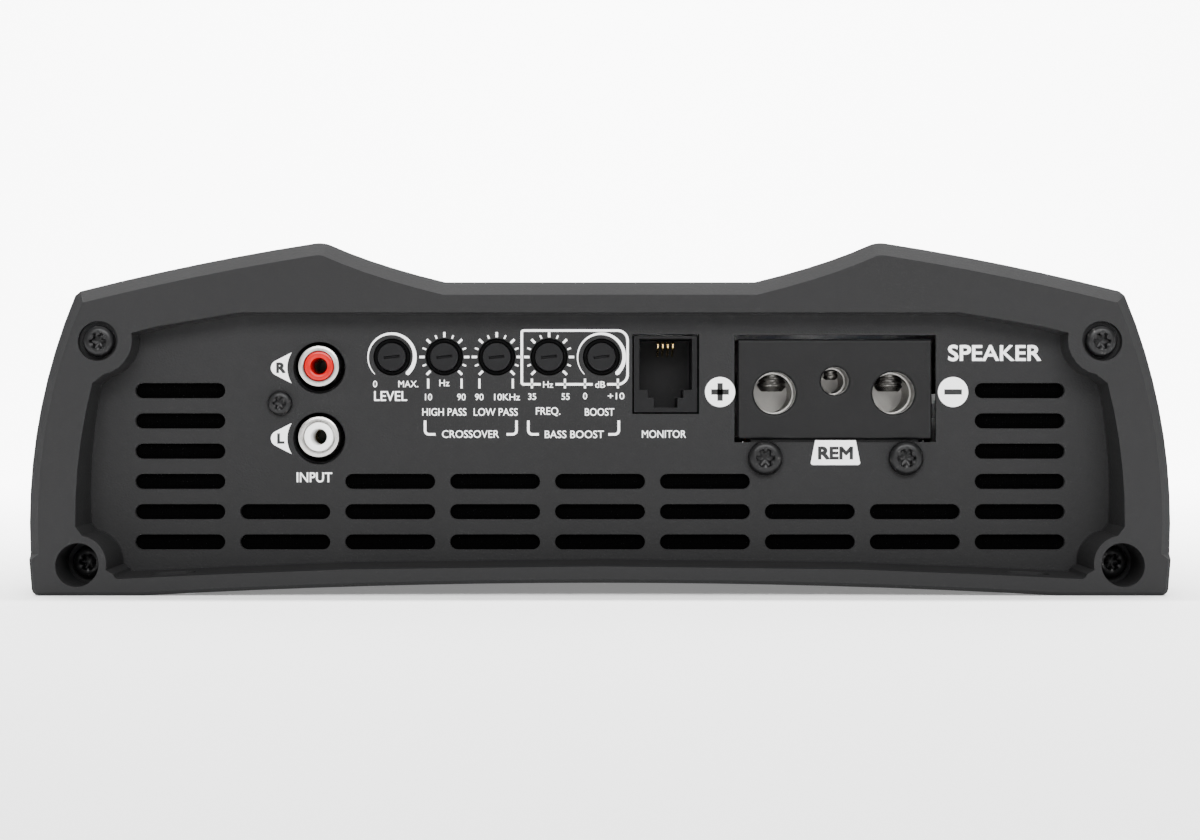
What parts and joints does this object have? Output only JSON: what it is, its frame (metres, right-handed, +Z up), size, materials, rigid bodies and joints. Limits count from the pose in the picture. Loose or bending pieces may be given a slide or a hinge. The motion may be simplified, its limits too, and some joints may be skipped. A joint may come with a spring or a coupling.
{
  "type": "car amplifier",
  "caption": "Car audio amplifier with a finned heatsink body, cast end frames, a recessed control panel with phono inputs and wire terminals, vent slots and rear fans.",
  "frame": {"origin": "under the middle of the body, on the surface that it is mounted on", "axes": "+Z up; -Y faces out of the control end; +X to the right when looking at the controls"},
  "size_m": [0.226, 0.2698, 0.0703],
  "materials": {
    "heatsink": "black satin powder coat on extruded aluminium",
    "end_frame": "dark grey fine satin coating on a casting",
    "panel": "black fine textured powder coat on sheet steel",
    "screw": "black zinc",
    "black_plastic": "matt",
    "terminal_plastic": "satin moulded",
    "red_plastic": "gloss moulded",
    "white_plastic": "gloss moulded",
    "shaft": "satin moulded",
    "potentiometer": "moulded",
    "dust_screen": "black woven nylon",
    "nickel": "satin nickel plate on brass",
    "gold": "gold plate",
    "brass": "turned",
    "copper": "enamelled copper",
    "fan_plastic": "moulded",
    "light": "tinted clear moulding",
    "circuit_board": "dark green solder mask",
    "capacitor_sleeve": "shrunk sleeve",
    "ferrite": "coated powder core",
    "thermal_pad": "soft pad",
    "zinc": "zinc plated",
    "zinc_screw": "zinc plated"
  },
  "bodies": {
    "chassis": {"heatsink": "heatsink", "base_plate": "panel", "base_plate_screws": "screw", "front_frame": "end_frame", "rear_frame": "end_frame", "front_frame_screws": "screw", "rear_frame_screws": "screw", "front_panel": "panel", "rear_panel": "panel", "rca_housing": "black_plastic", "rca_shells": "nickel", "rca_insert_right": "red_plastic", "rca_insert_left": "white_plastic", "rca_contacts": "gold", "rca_screw": "screw", "potentiometer_bodies": "potentiometer", "monitor_jack": "black_plastic", "monitor_jack_contacts": "gold", "speaker_terminal_housing": "terminal_plastic", "speaker_terminal_screws": "screw", "speaker_barrels": "nickel", "remote_barrel": "nickel", "supply_terminal_housing": "terminal_plastic", "supply_terminal_screws": "screw", "supply_barrels": "nickel", "fan_housings": "black_plastic", "fan_screws": "screw", "status_lights": "light", "main_board": "circuit_board", "board_spacers": "brass", "board_screws": "zinc_screw", "control_board": "circuit_board", "board_link": "black_plastic", "supply_capacitors": "capacitor_sleeve", "transformer_core": "ferrite", "transformer_winding": "copper", "inductor_core": "ferrite", "inductor_winding": "copper", "power_transistors": "black_plastic", "thermal_pads": "thermal_pad", "transistor_clamps": "zinc", "clamp_screws": "screw", "bus_bars": "copper", "dust_screens": "dust_screen"},
    "level": {"level_shaft": "shaft"},
    "high_pass": {"high_pass_shaft": "shaft"},
    "low_pass": {"low_pass_shaft": "shaft"},
    "bass_frequency": {"bass_frequency_shaft": "shaft"},
    "bass_boost": {"bass_boost_shaft": "shaft"},
    "speaker_positive_screw": {"speaker_positive_set_screw": "screw"},
    "speaker_negative_screw": {"speaker_negative_set_screw": "screw"},
    "remote_screw": {"remote_set_screw": "screw"},
    "supply_positive_screw": {"supply_positive_set_screw": "screw"},
    "supply_negative_screw": {"supply_negative_set_screw": "screw"},
    "left_fan": {"left_fan_rotor": "fan_plastic"},
    "right_fan": {"right_fan_rotor": "fan_plastic"}
  },
  "joints": [
    {"name": "level_turn", "type": "hinge", "parent": "chassis", "child": "level", "pos_m": [-0.0421, -0.12, 0.04725], "axis": [0, 1, 0], "range_deg": [-140, 140]},
    {"name": "high_pass_turn", "type": "hinge", "parent": "chassis", "child": "high_pass", "pos_m": [-0.0315, -0.12, 0.04725], "axis": [0, 1, 0], "range_deg": [-140, 140]},
    {"name": "low_pass_turn", "type": "hinge", "parent": "chassis", "child": "low_pass", "pos_m": [-0.0209, -0.12, 0.04725], "axis": [0, 1, 0], "range_deg": [-140, 140]},
    {"name": "bass_frequency_turn", "type": "hinge", "parent": "chassis", "child": "bass_frequency", "pos_m": [-0.0103, -0.12, 0.04725], "axis": [0, 1, 0], "range_deg": [-140, 140]},
    {"name": "bass_boost_turn", "type": "hinge", "parent": "chassis", "child": "bass_boost", "pos_m": [0.0003, -0.12, 0.04725], "axis": [0, 1, 0], "range_deg": [-140, 140]},
    {"name": "speaker_positive_screw_travel", "type": "slide", "parent": "chassis", "child": "speaker_positive_screw", "axis": [0, 0, 1], "range_m": [-0.003, 0.0039]},
    {"name": "speaker_negative_screw_travel", "type": "slide", "parent": "chassis", "child": "speaker_negative_screw", "axis": [0, 0, 1], "range_m": [-0.003, 0.0039]},
    {"name": "remote_screw_travel", "type": "slide", "parent": "chassis", "child": "remote_screw", "axis": [0, 0, 1], "range_m": [-0.002, 0.0025]},
    {"name": "supply_positive_screw_travel", "type": "slide", "parent": "chassis", "child": "supply_positive_screw", "axis": [0, 0, 1], "range_m": [-0.0028, 0.0045]},
    {"name": "supply_negative_screw_travel", "type": "slide", "parent": "chassis", "child": "supply_negative_screw", "axis": [0, 0, 1], "range_m": [-0.0028, 0.0045]},
    {"name": "left_fan_spin", "type": "hinge", "parent": "chassis", "child": "left_fan", "pos_m": [0.03, 0.111, 0.03], "axis": [0, 1, 0], "continuous": true},
    {"name": "right_fan_spin", "type": "hinge", "parent": "chassis", "child": "right_fan", "pos_m": [0.075, 0.111, 0.03], "axis": [0, 1, 0], "continuous": true}
  ]
}
